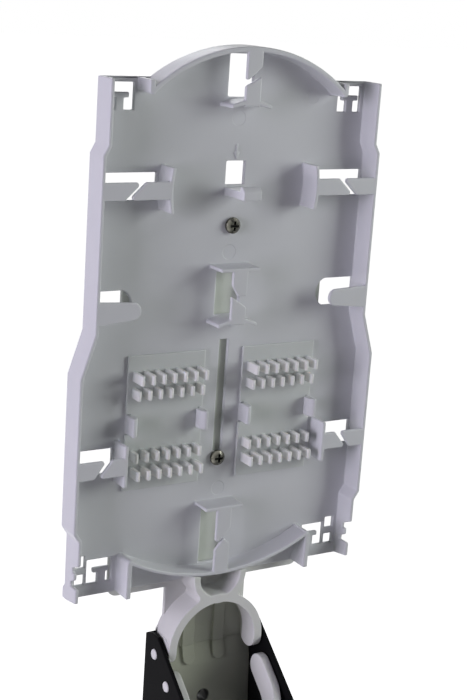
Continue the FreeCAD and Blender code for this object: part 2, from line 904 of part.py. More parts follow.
def make_holder(label, side):
    """Comb that grips the splice sleeves, clipped to the tray's floor."""
    body = new_body(
        label, size.holder_mid * side, size.tray_mid + size.holder_level, size.floor_stand
    )
    half_width = size.holder_half_width
    half_length = size.holder_half_length
    pad(body, "plate", [box(-half_width, -half_length, half_width, half_length)],
        0, size.holder_thickness)
    notch_depth = half_width - size.clip_inset - size.clip_post - size.notch_gap
    notch_half = size.clip_half_length + size.notch_gap
    notch = box(notch_depth, -notch_half, half_width + size.notch_gap, notch_half)
    cut(body, "clip_notches", both(notch), size.holder_thickness, size.holder_thickness * 2)
    steps = SIZES["fin_count"] - 1
    first = -size.fin_pitch * (steps / 2) - size.fin_thickness / 2
    rows = (
        ("upper_outer", 1, size.fin_outer_near, size.fin_outer_far, size.fin_outer_height),
        ("upper_inner", 1, size.fin_inner_near, size.fin_inner_far, size.fin_inner_height),
        ("lower_inner", -1, size.fin_inner_near, size.fin_inner_far, size.fin_inner_height),
        ("lower_outer", -1, size.fin_outer_near, size.fin_outer_far, size.fin_outer_height),
    )
    for name, way, near, far, height in rows:
        top = size.holder_thickness + height
        left = first
        right = first + size.fin_thickness
        fin = [
            (left, size.holder_thickness / 2),
            (right, size.holder_thickness / 2),
            (right, top - size.fin_chamfer),
            (right - size.fin_chamfer, top),
            (left + size.fin_chamfer, top),
            (left, top - size.fin_chamfer),
        ]
        start = near if way == -1 else -far
        feature = pad(body, name + "_fin", [fin], start, far - near, "XZ_Plane")
        row = body.newObject("PartDesign::LinearPattern", name + "_row")
        row.Originals = [feature]
        row.Direction = (feature.Profile[0], ["H_Axis"])
        row.Length = size.fin_pitch.number * steps
        row.Occurrences = SIZES["fin_count"]
        row.setExpression("Length", "Sizes.fin_pitch * (Sizes.fin_count - 1)")
        row.setExpression("Occurrences", "Sizes.fin_count")
        body.Tip = row


def make_screw(label, side):
    """Pan head screw with a cross recess, from the tray's floor into the carrier's boss."""
    body = new_body(
        label, length(0), size.tray_mid + size.screw_level * side, size.floor_stand
    )
    zero = length(0)
    tip = -size.screw_length
    profile = [
        (zero, tip),
        (size.shank_radius / 2, tip),
        (size.shank_radius, tip + size.screw_point),
        (size.shank_radius, zero),
        (size.head_radius, zero),
        (size.head_radius, size.head_edge),
        (size.head_crown, size.head_height),
        (zero, size.head_height),
    ]
    sketch = fill_sketch(body, "profile", "XZ_Plane", 0, [profile])
    turned = body.newObject("PartDesign::Revolution", "turned")
    turned.Profile = sketch
    turned.ReferenceAxis = (sketch, ["V_Axis"])
    turned.Angle = 360
    long = size.recess_half
    thin = size.recess_slot
    cross = [
        (long, -thin), (long, thin), (thin, thin), (thin, long), (-thin, long), (-thin, thin),
        (-long, thin), (-long, -thin), (-thin, -thin), (-thin, -long), (thin, -long), (thin, -thin),
    ]
    cut(body, "recess", [cross], size.head_height, size.recess_depth)


def make_carrier():
    """Plate behind the tray, with the rings that lead the tubes past the hinge."""
    body = new_body("tray_carrier", length(0), size.tray_mid, size.floor_stand)
    zero = length(0)
    pivot = size.pivot_level
    ring_mid = size.ring_mid
    end = pivot - size.neck_end
    front = -size.floor_thickness
    back = front - size.carrier_thickness
    corner = size.carrier_corner
    side = [
        (size.ring_outer, end),
        (size.ring_outer, ring_mid),
        (size.neck_half, ring_mid + rise(size.ring_outer, size.neck_half), size.ring_outer),
        (size.neck_half, size.carrier_low),
        (size.carrier_half - corner, size.carrier_low),
        (size.carrier_half, size.carrier_low + corner, corner),
        (size.carrier_half, size.carrier_top - corner),
        (size.carrier_half - corner, size.carrier_top, corner),
    ]
    far_side = []
    for index in range(len(side) - 1, -1, -1):
        point = (-side[index][0], side[index][1])
        follows_arc = index + 1 < len(side) and len(side[index + 1]) == 3
        far_side.append(point + (side[index + 1][2],) if follows_arc else point)
    pad(body, "plate", [side + far_side], back, size.carrier_thickness)

    height = size.ring_rim - front
    outer = size.ring_outer
    inner = size.ring_inner
    ear_up = pivot + size.ear_rise
    big_ring = [
        (outer, ear_up),
        (outer, ring_mid),
        (zero, ring_mid + outer, outer),
        (-outer, ring_mid, outer),
        (-outer, ear_up),
        (-inner, ear_up),
        (-inner, ring_mid),
        (zero, ring_mid + inner, -inner),
        (inner, ring_mid, -inner),
        (inner, ear_up),
    ]
    throat_mid = size.throat_mid
    small_outer = size.throat_outer
    small_inner = size.throat_inner
    throat_outer_top = size.bowl_mid - rise(size.bowl_radius, small_outer) - size.throat_gap
    throat_inner_top = size.bowl_mid - rise(size.bowl_radius, small_inner) - size.throat_gap
    small_ring = [
        (-small_outer, throat_outer_top),
        (-small_outer, throat_mid),
        (zero, throat_mid - small_outer, small_outer),
        (small_outer, throat_mid, small_outer),
        (small_outer, throat_outer_top),
        (small_inner, throat_inner_top),
        (small_inner, throat_mid),
        (zero, throat_mid - small_inner, -small_inner),
        (-small_inner, throat_mid, -small_inner),
        (-small_inner, throat_inner_top),
    ]
    pad(body, "big_ring", [big_ring], front, height)
    pad(body, "small_ring", [small_ring], front, height)
    apart = throat_mid.number - ring_mid.number
    along = (outer.number ** 2 - small_outer.number ** 2 + apart ** 2) / (2 * apart)
    across = math.sqrt(outer.number ** 2 - along ** 2)
    meeting = [(across, ring_mid.number + along), (-across, ring_mid.number + along)]
    round_corners(body, "ring_fillets", meeting, size.throat_fillet)

    ear_radius = height / 2
    ear_out = front + ear_radius
    for name, face in (("right", inner), ("left", -outer)):
        pad(body, name + "_ear", [(ear_up, ear_out, ear_radius)],
            face, outer - inner, "YZ_Plane")
    pin_out = size.pivot_out - size.floor_stand
    reach = size.bracket_half + size.pin_proud
    root = (inner + outer) / 2
    for name, face in (("right", root), ("left", -reach)):
        pad(body, name + "_pin", [(pivot, pin_out, size.pin_radius)],
            face, reach - root, "YZ_Plane")
    bead_top = ring_mid + rise(inner, size.bead_mid + size.bead_half) + size.tab_root
    bead = box(size.bead_mid - size.bead_half, end, size.bead_mid + size.bead_half, bead_top)
    pad(body, "beads", both(bead), back, size.carrier_thickness + size.bead_height)
    screws = [(0, size.screw_level * way, size.boss_radius) for way in (1, -1)]
    pad(body, "bosses", screws, back - size.boss_length, size.boss_length)
    bores = [(0, size.screw_level * way, size.boss_bore) for way in (1, -1)]
    cut(body, "bores", bores, front, size.carrier_thickness + size.boss_length * 2)


def make_ramp():
    """Sloping floor between the flanges, on which the tubes turn up to the tray."""
    body = new_body("trough_floor", length(0), length(0), length(0))
    top = size.pivot_up - size.neck_end - size.ramp_gap
    plate_front = size.floor_stand - size.floor_thickness
    sheet = size.sheet_thickness
    thickness = size.ramp_thickness
    side = [
        (top, sheet),
        (top, plate_front),
        (size.ramp_bend_up, size.ramp_bend_out),
        (size.ramp_end_up, size.ramp_end_out),
        (size.ramp_end_up, sheet),
        (size.ramp_end_up + thickness, sheet),
        (size.ramp_end_up + thickness, size.ramp_end_out - thickness),
        (size.ramp_bend_up, size.ramp_bend_out - thickness),
        (top - thickness, size.ramp_lip),
        (top - thickness, sheet),
    ]
    half = size.bracket_half - sheet - size.side_gap
    pad(body, "bent_plate", [side], -half, half * 2, "YZ_Plane")
    pad(body, "boss", [(0, length(0), size.ramp_boss)], sheet, size.ramp_bend_out - sheet)
    cut(body, "access_hole", [(0, length(0), size.ramp_hole)],
        size.ramp_end_out, size.ramp_end_out)
    slope_rise = size.ramp_bend_out - plate_front
    bead_end = size.pivot_up - size.bead_tail
    bead = [
        (top, plate_front - size.bead_height / 2),
        (bead_end, size.ramp_bend_out - size.bead_height),
        (bead_end, size.ramp_bend_out + size.bead_height / 2),
        (top, plate_front + size.bead_height),
    ]
    for name, way in (("right", 1), ("left", -1)):
        start = size.bead_mid * way - size.bead_half
        pad(body, name + "_bead", [bead], start, size.bead_half * 2, "YZ_Plane")
    tips = [
        (size.bead_mid + size.bead_half, bead_end),
        (size.bead_mid - size.bead_half, bead_end),
    ]
    round_corners(body, "bead_tips", flipped(tips), size.bead_round)


def make_yoke():
    """Tube ring on the second pair of pins, folded forwards out of the way."""
    body = new_body(
        "hinge_yoke", length(0), size.yoke_pivot_up, size.yoke_pivot_out,
        size.yoke_fold_angle,
    )
    zero = length(0)
    outer = size.bracket_half - size.sheet_thickness - size.side_gap
    inner = outer - size.yoke_wall
    arm = size.yoke_arm
    half = size.yoke_half_width
    ring = [
        (outer, zero),
        (outer, arm),
        (zero, arm + outer, outer),
        (-outer, arm, outer),
        (-outer, zero),
        (-inner, zero),
        (-inner, arm),
        (zero, arm + inner, -inner),
        (inner, arm, -inner),
        (inner, zero),
    ]
    pad(body, "ring", [ring], -half, half * 2)
    reach = size.bracket_half + size.pin_proud
    root = (inner + outer) / 2
    for name, face in (("right", inner), ("left", -outer)):
        pad(body, name + "_tip", [(0, length(0), half)], face, size.yoke_wall, "YZ_Plane")
    for name, face in (("right", root), ("left", -reach)):
        pad(body, name + "_pin", [(0, length(0), size.pin_radius)], face, reach - root, "YZ_Plane")


def make_bracket():
    """Folded steel channel whose flanges carry both pairs of pins."""
    body = new_body("hinge_bracket", length(0), length(0), length(0))
    zero = length(0)
    low = -size.bracket_drop
    flange = [
        (low, zero),
        (size.back_top, zero),
        (size.shoulder_up, size.shoulder_out),
        (size.nose_up, size.nose_out),
        (size.front_up, size.front_out),
        (low, size.front_out),
    ]
    half = size.bracket_half
    pad(body, "channel", [flange], -half, half * 2, "YZ_Plane")
    sheet = size.sheet_thickness
    hollow = box(low - sheet, sheet, size.shoulder_up + sheet, size.front_out + sheet)
    inner = half - sheet
    cut(body, "inside", [hollow], inner, inner * 2, "YZ_Plane")
    hole = size.pin_radius + size.pin_gap
    holes = [
        (size.pivot_up, size.pivot_out, hole),
        (size.yoke_pivot_up, size.yoke_pivot_out, hole),
    ]
    cut(body, "pin_holes", holes, half, half * 2, "YZ_Plane")
    cut(body, "fixing_hole", [(0, length(0), size.fixing_radius)], sheet, sheet * 2)


def write_parts(doc):
    """Check every object and body, then write one file for each body."""
    doc.recompute()
    for item in doc.Objects:
        if "Invalid" in item.State or "Error" in item.State:
            raise RuntimeError(f"{item.Label} failed: {item.State}")
    bodies = [item for item in doc.Objects if item.TypeId == "PartDesign::Body"]
    for body in bodies:
        if body.Shape.isNull() or not body.Shape.isValid():
            raise RuntimeError(f"{body.Label} has no valid shape")
    os.makedirs("parts", exist_ok=True)
    for body in bodies:
        body.Shape.exportStep(f"parts/{body.Label}.step")
        print(body.Label, len(body.Shape.Solids), round(body.Shape.Volume, 1))


doc = FreeCAD.newDocument("fibre_splice_tray")
fill_sheet(doc)
size = Sheet(SIZES)
make_tray()
make_holder("splice_holder_left", -1)
make_holder("splice_holder_right", 1)
make_screw("tray_screw_upper", 1)
make_screw("tray_screw_lower", -1)
make_carrier()
make_ramp()
make_yoke()
make_bracket()
write_parts(doc)
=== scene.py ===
import json

import bmesh
import bpy
import numpy as np
from mathutils import Matrix, Vector
from mathutils.bvhtree import BVHTree

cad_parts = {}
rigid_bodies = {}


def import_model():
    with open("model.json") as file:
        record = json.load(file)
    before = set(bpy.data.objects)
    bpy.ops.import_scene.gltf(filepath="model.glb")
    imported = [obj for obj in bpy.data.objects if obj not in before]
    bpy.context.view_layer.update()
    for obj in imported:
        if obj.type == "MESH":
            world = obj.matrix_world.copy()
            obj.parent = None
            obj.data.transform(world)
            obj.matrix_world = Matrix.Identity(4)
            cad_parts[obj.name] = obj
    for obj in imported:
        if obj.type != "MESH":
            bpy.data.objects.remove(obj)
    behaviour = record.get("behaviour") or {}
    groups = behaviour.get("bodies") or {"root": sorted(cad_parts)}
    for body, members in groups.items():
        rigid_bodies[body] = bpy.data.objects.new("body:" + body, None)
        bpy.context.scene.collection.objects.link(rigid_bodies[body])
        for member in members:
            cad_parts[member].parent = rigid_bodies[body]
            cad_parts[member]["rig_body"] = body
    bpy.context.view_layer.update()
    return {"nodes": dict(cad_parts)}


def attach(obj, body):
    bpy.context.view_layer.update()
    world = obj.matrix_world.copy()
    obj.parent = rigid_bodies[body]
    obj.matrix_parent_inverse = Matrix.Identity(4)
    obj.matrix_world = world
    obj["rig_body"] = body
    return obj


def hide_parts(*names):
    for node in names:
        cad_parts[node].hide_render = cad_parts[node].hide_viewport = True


# A fibre splice tray that swings on a small steel bracket. The sections below follow the
# way it is put together, from the bracket outwards, and the studio comes last.
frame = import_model()


# Hinge bracket. It is one sheet of steel folded into a channel, punched for two pairs of
# pins and one fixing screw, and powder coated black after folding, so that its cut edges
# are softly rounded by the coat.
BRACKET_EDGE = 0.00035
SHARP_TURN = np.radians(30.0)
EDGE_SHARE = 0.38
EDGE_REACH = 0.01
EDGE_SAMPLES = (0.1, 0.5, 0.9)
BEND_LEAST = np.radians(1.0)
BEND_MOST = np.radians(45.0)
LEAST_WEIGHT = 0.15
SKIN_DEPTH = 0.00002
SEAM_DEPTH = 0.0002
WELD_REACH = 2e-6
FLAT_WITHIN = np.radians(0.2)
EDGE_SEGMENTS = 3
COAT_BLACK = (0.005, 0.005, 0.0055, 1.0)
COAT_WORN = (0.009, 0.009, 0.0095, 1.0)
COAT_SHEEN = 0.015
COAT_SMOOTHEST = 0.42
COAT_ROUGHEST = 0.58
PEEL_SCALE = 1400.0
PEEL_DETAIL = 3.0
PEEL_HEIGHT = 0.00006
PEEL_STRENGTH = 0.5
WEAR_SCALE = 60.0


def room_beside(edge, tree):
    """Width of the narrower face beside a sharp edge. Rays run just under and just over
    each face, away from the edge, until they meet the wall where that face ends."""
    start, end = (vertex.co for vertex in edge.verts)
    along = (end - start).normalized()
    room = EDGE_REACH
    for face in edge.link_faces:
        inward = face.normal.cross(along)
        if inward.dot(face.calc_center_median() - start) < 0.0:
            inward.negate()
        for share in EDGE_SAMPLES:
            foot = start.lerp(end, share) + inward * SKIN_DEPTH
            for side in (-1.0, 1.0):
                origin = foot + face.normal * SKIN_DEPTH * side
                distance = tree.ray_cast(origin, inward, EDGE_REACH)[3]
                room = min(room, distance or EDGE_REACH)
    return room


def turn_between(first, second, corner):
    """Angle by which a line along the first edge turns into the second at their corner."""
    come = corner.co - first.other_vert(corner).co
    leave = second.other_vert(corner).co - corner.co
    return come.angle(leave)


def even_runs(rooms):
    """Gives all edges of one bending run the room of its narrowest edge, so that the
    rounding keeps one width along an arc."""
    waiting = set(rooms)
    while waiting:
        run = {waiting.pop()}
        fresh = set(run)
        while fresh:
            line = fresh.pop()
            for corner in line.verts:
                for other in waiting.intersection(corner.link_edges):
                    if BEND_LEAST < turn_between(line, other, corner) < BEND_MOST:
                        fresh.add(other)
            waiting -= fresh
            run |= fresh
        narrowest = min(rooms[line] for line in run)
        for line in run:
            rooms[line] = narrowest
    return rooms


def softened(node, name, edge, seam=None):
    """A CAD node's own surface as a new piece: its loose triangles are joined, its flat
    facets merged and cut up evenly, and each edge that turns by more than 30 degrees is
    rounded, as far as the faces beside it are wide. Edges at the seam level stay crisp."""
    source = frame["nodes"][node]
    mesh = source.data.copy()
    work = bmesh.new()
    work.from_mesh(mesh)
    bmesh.ops.remove_doubles(work, verts=work.verts, dist=WELD_REACH)
    bmesh.ops.dissolve_limit(
        work, angle_limit=FLAT_WITHIN, verts=work.verts, edges=work.edges
    )
    bmesh.ops.triangulate(work, faces=work.faces, quad_method="BEAUTY", ngon_method="BEAUTY")
    work.normal_update()
    tree = BVHTree.FromBMesh(work)
    weight = work.edges.layers.float.new("bevel_weight_edge")
    rooms = {}
    for line in work.edges:
        if len(line.link_faces) != 2 or line.calc_face_angle() < SHARP_TURN:
            continue
        heights = [vertex.co.z for vertex in line.verts]
        if seam is not None and max(abs(height - seam) for height in heights) < SEAM_DEPTH:
            continue
        rooms[line] = room_beside(line, tree)
    for line, room in even_runs(rooms).items():
        line[weight] = min(1.0, max(LEAST_WEIGHT, EDGE_SHARE * room / edge))
    work.to_mesh(mesh)
    work.free()
    mesh.shade_smooth()
    piece = bpy.data.objects.new(name, mesh)
    bpy.context.scene.collection.objects.link(piece)
    rounded = piece.modifiers.new("rounded_edges", "BEVEL")
    rounded.width = edge
    rounded.segments = EDGE_SEGMENTS
    rounded.limit_method = "WEIGHT"
    rounded.use_clamp_overlap = False
    rounded.loop_slide = False
    level = piece.modifiers.new("flat_faces_stay_flat", "WEIGHTED_NORMAL")
    level.mode = "FACE_AREA"
    level.weight = 100
    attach(piece, source["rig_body"])
    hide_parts(node)
    return piece


def dress(piece, material):
    """Gives the whole piece one material."""
    piece.data.materials.clear()
    piece.data.materials.append(material)


def new_material(name):
    """An empty material with its shader and the object's own coordinates."""
    material = bpy.data.materials.new(name)
    material.use_nodes = True
    tree = material.node_tree
    shader = tree.nodes["Principled BSDF"]
    coordinates = tree.nodes.new("ShaderNodeTexCoord")
    return material, tree, shader, coordinates.outputs["Object"]


def powder_coat():
    """Black powder coat: a fine orange peel with a slow drift from black to charcoal."""
    material, tree, shader, place = new_material("powder_coat")
    peel = tree.nodes.new("ShaderNodeTexNoise")
    peel.inputs["Scale"].default_value = PEEL_SCALE
    peel.inputs["Detail"].default_value = PEEL_DETAIL
    drift = tree.nodes.new("ShaderNodeTexNoise")
    drift.inputs["Scale"].default_value = WEAR_SCALE
    shades = tree.nodes.new("ShaderNodeMix")
    shades.data_type = "RGBA"
    shades.inputs["A"].default_value = COAT_BLACK
    shades.inputs["B"].default_value = COAT_WORN
    gloss = tree.nodes.new("ShaderNodeMapRange")
    gloss.inputs["To Min"].default_value = COAT_SMOOTHEST
    gloss.inputs["To Max"].default_value = COAT_ROUGHEST
    bump = tree.nodes.new("ShaderNodeBump")
    bump.inputs["Strength"].default_value = PEEL_STRENGTH
    bump.inputs["Distance"].default_value = PEEL_HEIGHT
    tree.links.new(place, peel.inputs["Vector"])
    tree.links.new(place, drift.inputs["Vector"])
    tree.links.new(drift.outputs["Fac"], shades.inputs["Factor"])
    tree.links.new(shades.outputs["Result"], shader.inputs["Base Color"])
    tree.links.new(drift.outputs["Fac"], gloss.inputs["Value"])
    tree.links.new(gloss.outputs["Result"], shader.inputs["Roughness"])
    tree.links.new(peel.outputs["Fac"], bump.inputs["Height"])
    tree.links.new(bump.outputs["Normal"], shader.inputs["Normal"])
    shader.inputs["Specular IOR Level"].default_value = COAT_SHEEN
    return material


bracket = softened("hinge_bracket", "bracket_coated", BRACKET_EDGE)
dress(bracket, powder_coat())


# Trough floor. It is a small white moulding, set between the bracket's flanges, that slopes
# from the web to the carrier, so that the tubes turn gently up to the tray. A hollow boss
# gives a driver room to reach the fixing screw.
MOULD_EDGE = 0.0005
GLOW_REACH = 0.0012
CARRIER_WHITE = (0.77, 0.77, 0.76, 1.0)
CARRIER_SHADE = (0.73, 0.73, 0.715, 1.0)
# Painted shade of the tubes' channel: a tone from pale to deep that darkens across and down it,
# where the flanges and the ring shade it.
PAINTED_SHADE_PALE = (0.45, 0.465, 0.38, 1.0)
PAINTED_SHADE_DEEP = (0.18, 0.185, 0.16, 1.0)
PAINTED_SHADE_SLOPE = (1.0, 0.0, -0.35)
PAINTED_SHADE_SPAN = 0.021
RING_LEVEL = 0.0225
RING_RADIUS = 0.0186
PLATE_DEPTH = -0.005
BLUR = 0.0006
# Painted shade, nearly black, in the bore of the trough's hollow boss.
BORE_EDGE = 0.003
BORE_PAINTED_SHADE = (0.02, 0.02, 0.018, 1.0)
CARRIER_RELIEF = 0.00008
PLASTIC_SHEEN = 0.4
TROUGH_SHEEN = 0.2
NO_GLOW = 0.0
THIN_GLOW = 0.2
SKIN_STRENGTH = 0.6
CLOUD_DETAIL = 4.0
CLOUD_SWIRL = 0.6
GRAIN_DETAIL = 2.0
CLOUD_LOW = 0.3
CLOUD_HIGH = 0.7
GLOW_TINT = (1.0, 0.95, 0.9)
ACROSS_AND_UP = (1.0, 0.0, 1.0)


def moulded_skin():
    """Group for a moulded skin: two tones mixed by slow flow clouds, a roughness that
    drifts with them, and a height that adds fine spark grain to the clouds."""
    group = bpy.data.node_groups.new("moulded_skin", "ShaderNodeTree")
    faces = group.interface
    faces.new_socket("Vector", in_out="INPUT", socket_type="NodeSocketVector")
    for name, value in (("Tone", (0.7, 0.7, 0.7, 1.0)), ("Shade", (0.65, 0.65, 0.65, 1.0))):
        faces.new_socket(name, in_out="INPUT", socket_type="NodeSocketColor").default_value = value
    for name, value in (
        ("Cloud Scale", 45.0),
        ("Grain Scale", 2600.0),
        ("Grain Share", 0.5),
        ("Smoothest", 0.34),
        ("Roughest", 0.46),
    ):
        faces.new_socket(name, in_out="INPUT", socket_type="NodeSocketFloat").default_value = value
    faces.new_socket("Color", in_out="OUTPUT", socket_type="NodeSocketColor")
    faces.new_socket("Roughness", in_out="OUTPUT", socket_type="NodeSocketFloat")
    faces.new_socket("Height", in_out="OUTPUT", socket_type="NodeSocketFloat")
    given = group.nodes.new("NodeGroupInput")
    result = group.nodes.new("NodeGroupOutput")
    cloud = group.nodes.new("ShaderNodeTexNoise")
    cloud.inputs["Detail"].default_value = CLOUD_DETAIL
    cloud.inputs["Distortion"].default_value = CLOUD_SWIRL
    grain = group.nodes.new("ShaderNodeTexNoise")
    grain.inputs["Detail"].default_value = GRAIN_DETAIL
    tones = group.nodes.new("ShaderNodeMix")
    tones.data_type = "RGBA"
    drift = group.nodes.new("ShaderNodeMapRange")
    drift.inputs["From Min"].default_value = CLOUD_LOW
    drift.inputs["From Max"].default_value = CLOUD_HIGH
    relief = group.nodes.new("ShaderNodeMix")
    links = group.links
    links.new(given.outputs["Vector"], cloud.inputs["Vector"])
    links.new(given.outputs["Cloud Scale"], cloud.inputs["Scale"])
    links.new(given.outputs["Vector"], grain.inputs["Vector"])
    links.new(given.outputs["Grain Scale"], grain.inputs["Scale"])
    links.new(cloud.outputs["Fac"], tones.inputs["Factor"])
    links.new(given.outputs["Tone"], tones.inputs["A"])
    links.new(given.outputs["Shade"], tones.inputs["B"])
    links.new(tones.outputs["Result"], result.inputs["Color"])
    links.new(cloud.outputs["Fac"], drift.inputs["Value"])
    links.new(given.outputs["Smoothest"], drift.inputs["To Min"])
    links.new(given.outputs["Roughest"], drift.inputs["To Max"])
    links.new(drift.outputs["Result"], result.inputs["Roughness"])
    links.new(given.outputs["Grain Share"], relief.inputs["Factor"])
    links.new(cloud.outputs["Fac"], relief.inputs["A"])
    links.new(grain.outputs["Fac"], relief.inputs["B"])
    links.new(relief.outputs["Result"], result.inputs["Height"])
    return group


skin = moulded_skin()


def white_moulding(name, tone, shade, relief, glow):
    """White plastic with the moulded skin, at its own tones and relief in metres. The glow
    is the share of light that wanders a millimetre or so through the thin walls."""
    material, tree, shader, place = new_material(name)
    surface = tree.nodes.new("ShaderNodeGroup")
    surface.node_tree = skin
    surface.inputs["Tone"].default_value = tone
    surface.inputs["Shade"].default_value = shade
    bump = tree.nodes.new("ShaderNodeBump")
    bump.inputs["Strength"].default_value = SKIN_STRENGTH
    bump.inputs["Distance"].default_value = relief
    tree.links.new(place, surface.inputs["Vector"])
    tree.links.new(surface.outputs["Color"], shader.inputs["Base Color"])
    tree.links.new(surface.outputs["Roughness"], shader.inputs["Roughness"])
    tree.links.new(surface.outputs["Height"], bump.inputs["Height"])
    tree.links.new(bump.outputs["Normal"], shader.inputs["Normal"])
    shader.inputs["Specular IOR Level"].default_value = PLASTIC_SHEEN
    shader.inputs["Subsurface Weight"].default_value = glow
    shader.inputs["Subsurface Radius"].default_value = GLOW_TINT
    shader.inputs["Subsurface Scale"].default_value = GLOW_REACH
    return material


def soft_step(tree, value, start, end):
    """A straight ramp from nought at the start to one at the end."""
    ramp = tree.nodes.new("ShaderNodeMapRange")
    ramp.inputs["From Min"].default_value = start
    ramp.inputs["From Max"].default_value = end
    tree.links.new(value, ramp.inputs["Value"])
    return ramp.outputs["Result"]


def axis_distance(tree, place, across, level):
    """Distance from a line that runs from the front to the back, through one point."""
    flat = tree.nodes.new("ShaderNodeVectorMath")
    flat.operation = "MULTIPLY"
    flat.inputs[1].default_value = ACROSS_AND_UP
    away = tree.nodes.new("ShaderNodeVectorMath")
    away.operation = "DISTANCE"
    away.inputs[1].default_value = (across, 0.0, level)
    tree.links.new(place, flat.inputs[0])
    tree.links.new(flat.outputs["Vector"], away.inputs[0])
    return away.outputs["Value"]


def channel_painted_shade():
    """Group for the painted shade along the run of the tubes. Its mask covers the plate
    within the ring's radius, and its tone is painted shade that darkens across and down the
    channel, by the dot product of the place with one direction."""
    group = bpy.data.node_groups.new("channel_painted_shade", "ShaderNodeTree")
    faces = group.interface
    faces.new_socket("Vector", in_out="INPUT", socket_type="NodeSocketVector")
    faces.new_socket("Mask", in_out="OUTPUT", socket_type="NodeSocketFloat")
    faces.new_socket("Tone", in_out="OUTPUT", socket_type="NodeSocketColor")
    given = group.nodes.new("NodeGroupInput")
    result = group.nodes.new("NodeGroupOutput")
    links = group.links
    axes = group.nodes.new("ShaderNodeSeparateXYZ")
    slope = group.nodes.new("ShaderNodeVectorMath")
    slope.operation = "DOT_PRODUCT"
    slope.inputs[1].default_value = PAINTED_SHADE_SLOPE
    plate = group.nodes.new("ShaderNodeMath")
    plate.operation = "MULTIPLY"
    tones = group.nodes.new("ShaderNodeMix")
    tones.data_type = "RGBA"
    tones.inputs["A"].default_value = PAINTED_SHADE_PALE
    tones.inputs["B"].default_value = PAINTED_SHADE_DEEP
    links.new(given.outputs["Vector"], axes.inputs["Vector"])
    links.new(given.outputs["Vector"], slope.inputs[0])
    away = axis_distance(group, given.outputs["Vector"], 0.0, RING_LEVEL)
    deep = soft_step(group, axes.outputs["Y"], PLATE_DEPTH - BLUR, PLATE_DEPTH)
    inside = soft_step(group, away, RING_RADIUS + BLUR, RING_RADIUS - BLUR)
    fade = soft_step(group, slope.outputs["Value"], -PAINTED_SHADE_SPAN, PAINTED_SHADE_SPAN)
    links.new(deep, plate.inputs[0])
    links.new(inside, plate.inputs[1])
    links.new(plate.outputs["Value"], result.inputs["Mask"])
    links.new(fade, tones.inputs["Factor"])
    links.new(tones.outputs["Result"], result.inputs["Tone"])
    return group


def toned(material, tone, mask=None):
    """Lays a tone over the material's own colour, everywhere or by a mask. The tone is a
    colour or the output of another node."""
    tree = material.node_tree
    shader = tree.nodes["Principled BSDF"]
    own = shader.inputs["Base Color"].links[0].from_socket
    over = tree.nodes.new("ShaderNodeMix")
    over.data_type = "RGBA"
    over.inputs["Factor"].default_value = 1.0
    tree.links.new(own, over.inputs["A"])
    if mask is not None:
        tree.links.new(mask, over.inputs["Factor"])
    if isinstance(tone, tuple):
        over.inputs["B"].default_value = tone
    else:
        tree.links.new(tone, over.inputs["B"])
    tree.links.new(over.outputs["Result"], shader.inputs["Base Color"])


painted_shade_group = channel_painted_shade()


def place_in(material):
    """The object's own coordinates, as the material has them."""
    return material.node_tree.nodes["Texture Coordinate"].outputs["Object"]


def axes_of(material):
    """The three coordinates of the place, one by one."""
    axes = material.node_tree.nodes.new("ShaderNodeSeparateXYZ")
    material.node_tree.links.new(place_in(material), axes.inputs["Vector"])
    return axes.outputs


def painted_shade_node(material):
    """The channel's painted shade as a node of a white moulding."""
    tree = material.node_tree
    painted_node = tree.nodes.new("ShaderNodeGroup")
    painted_node.node_tree = painted_shade_group
    tree.links.new(place_in(material), painted_node.inputs["Vector"])
    return painted_node.outputs


trough_plastic = white_moulding(
    "trough_plastic", CARRIER_WHITE, CARRIER_SHADE, CARRIER_RELIEF, NO_GLOW
)
trough_tree = trough_plastic.node_tree
trough_shader = trough_tree.nodes["Principled BSDF"]
trough_shader.inputs["Specular IOR Level"].default_value = TROUGH_SHEEN
# Painted shade: the whole trough takes the channel's darkening tone in place of its white.
toned(trough_plastic, painted_shade_node(trough_plastic)["Tone"])
# Painted shade in the boss's bore, within its radius of the axis.
bore_away = axis_distance(trough_tree, place_in(trough_plastic), 0.0, 0.0)
bore_painted_shade = soft_step(trough_tree, bore_away, BORE_EDGE, BORE_EDGE - BLUR)
toned(trough_plastic, BORE_PAINTED_SHADE, bore_painted_shade)
trough_top = max(vertex.co.z for vertex in frame["nodes"]["trough_floor"].data.vertices)
trough = softened(
    "trough_floor", "trough_moulding", MOULD_EDGE, seam=trough_top
)
dress(trough, trough_plastic)


# Tray carrier. This white moulding is the plate behind the tray. Its pins snap into the
# bracket's flanges, and its half ring and open tube ring lead the tubes past the hinge.
# Painted shade on the carrier from 50 mm up, where it lies behind the tray.
CARRIER_PAINTED_SHADE_UNDER_TRAY = (0.66, 0.69, 0.63, 1.0)
COVER_START = 0.050
COVER_FULL = 0.056

carrier_plastic = white_moulding(
    "carrier_plastic", CARRIER_WHITE, CARRIER_SHADE, CARRIER_RELIEF, THIN_GLOW
)
# Painted shade on the plate inside the tube ring, in the channel's darkening tone.
carrier_painted_shade = painted_shade_node(carrier_plastic)
toned(carrier_plastic, carrier_painted_shade["Tone"], carrier_painted_shade["Mask"])
# Painted shade above 50 mm, behind the tray.
carrier_height = axes_of(carrier_plastic)["Z"]
painted_shade_under_tray = soft_step(carrier_plastic.node_tree, carrier_height, COVER_START, COVER_FULL)
toned(carrier_plastic, CARRIER_PAINTED_SHADE_UNDER_TRAY, painted_shade_under_tray)
carrier = softened(
    "tray_carrier", "carrier_moulding", MOULD_EDGE, seam=trough_top
)
dress(carrier, carrier_plastic)


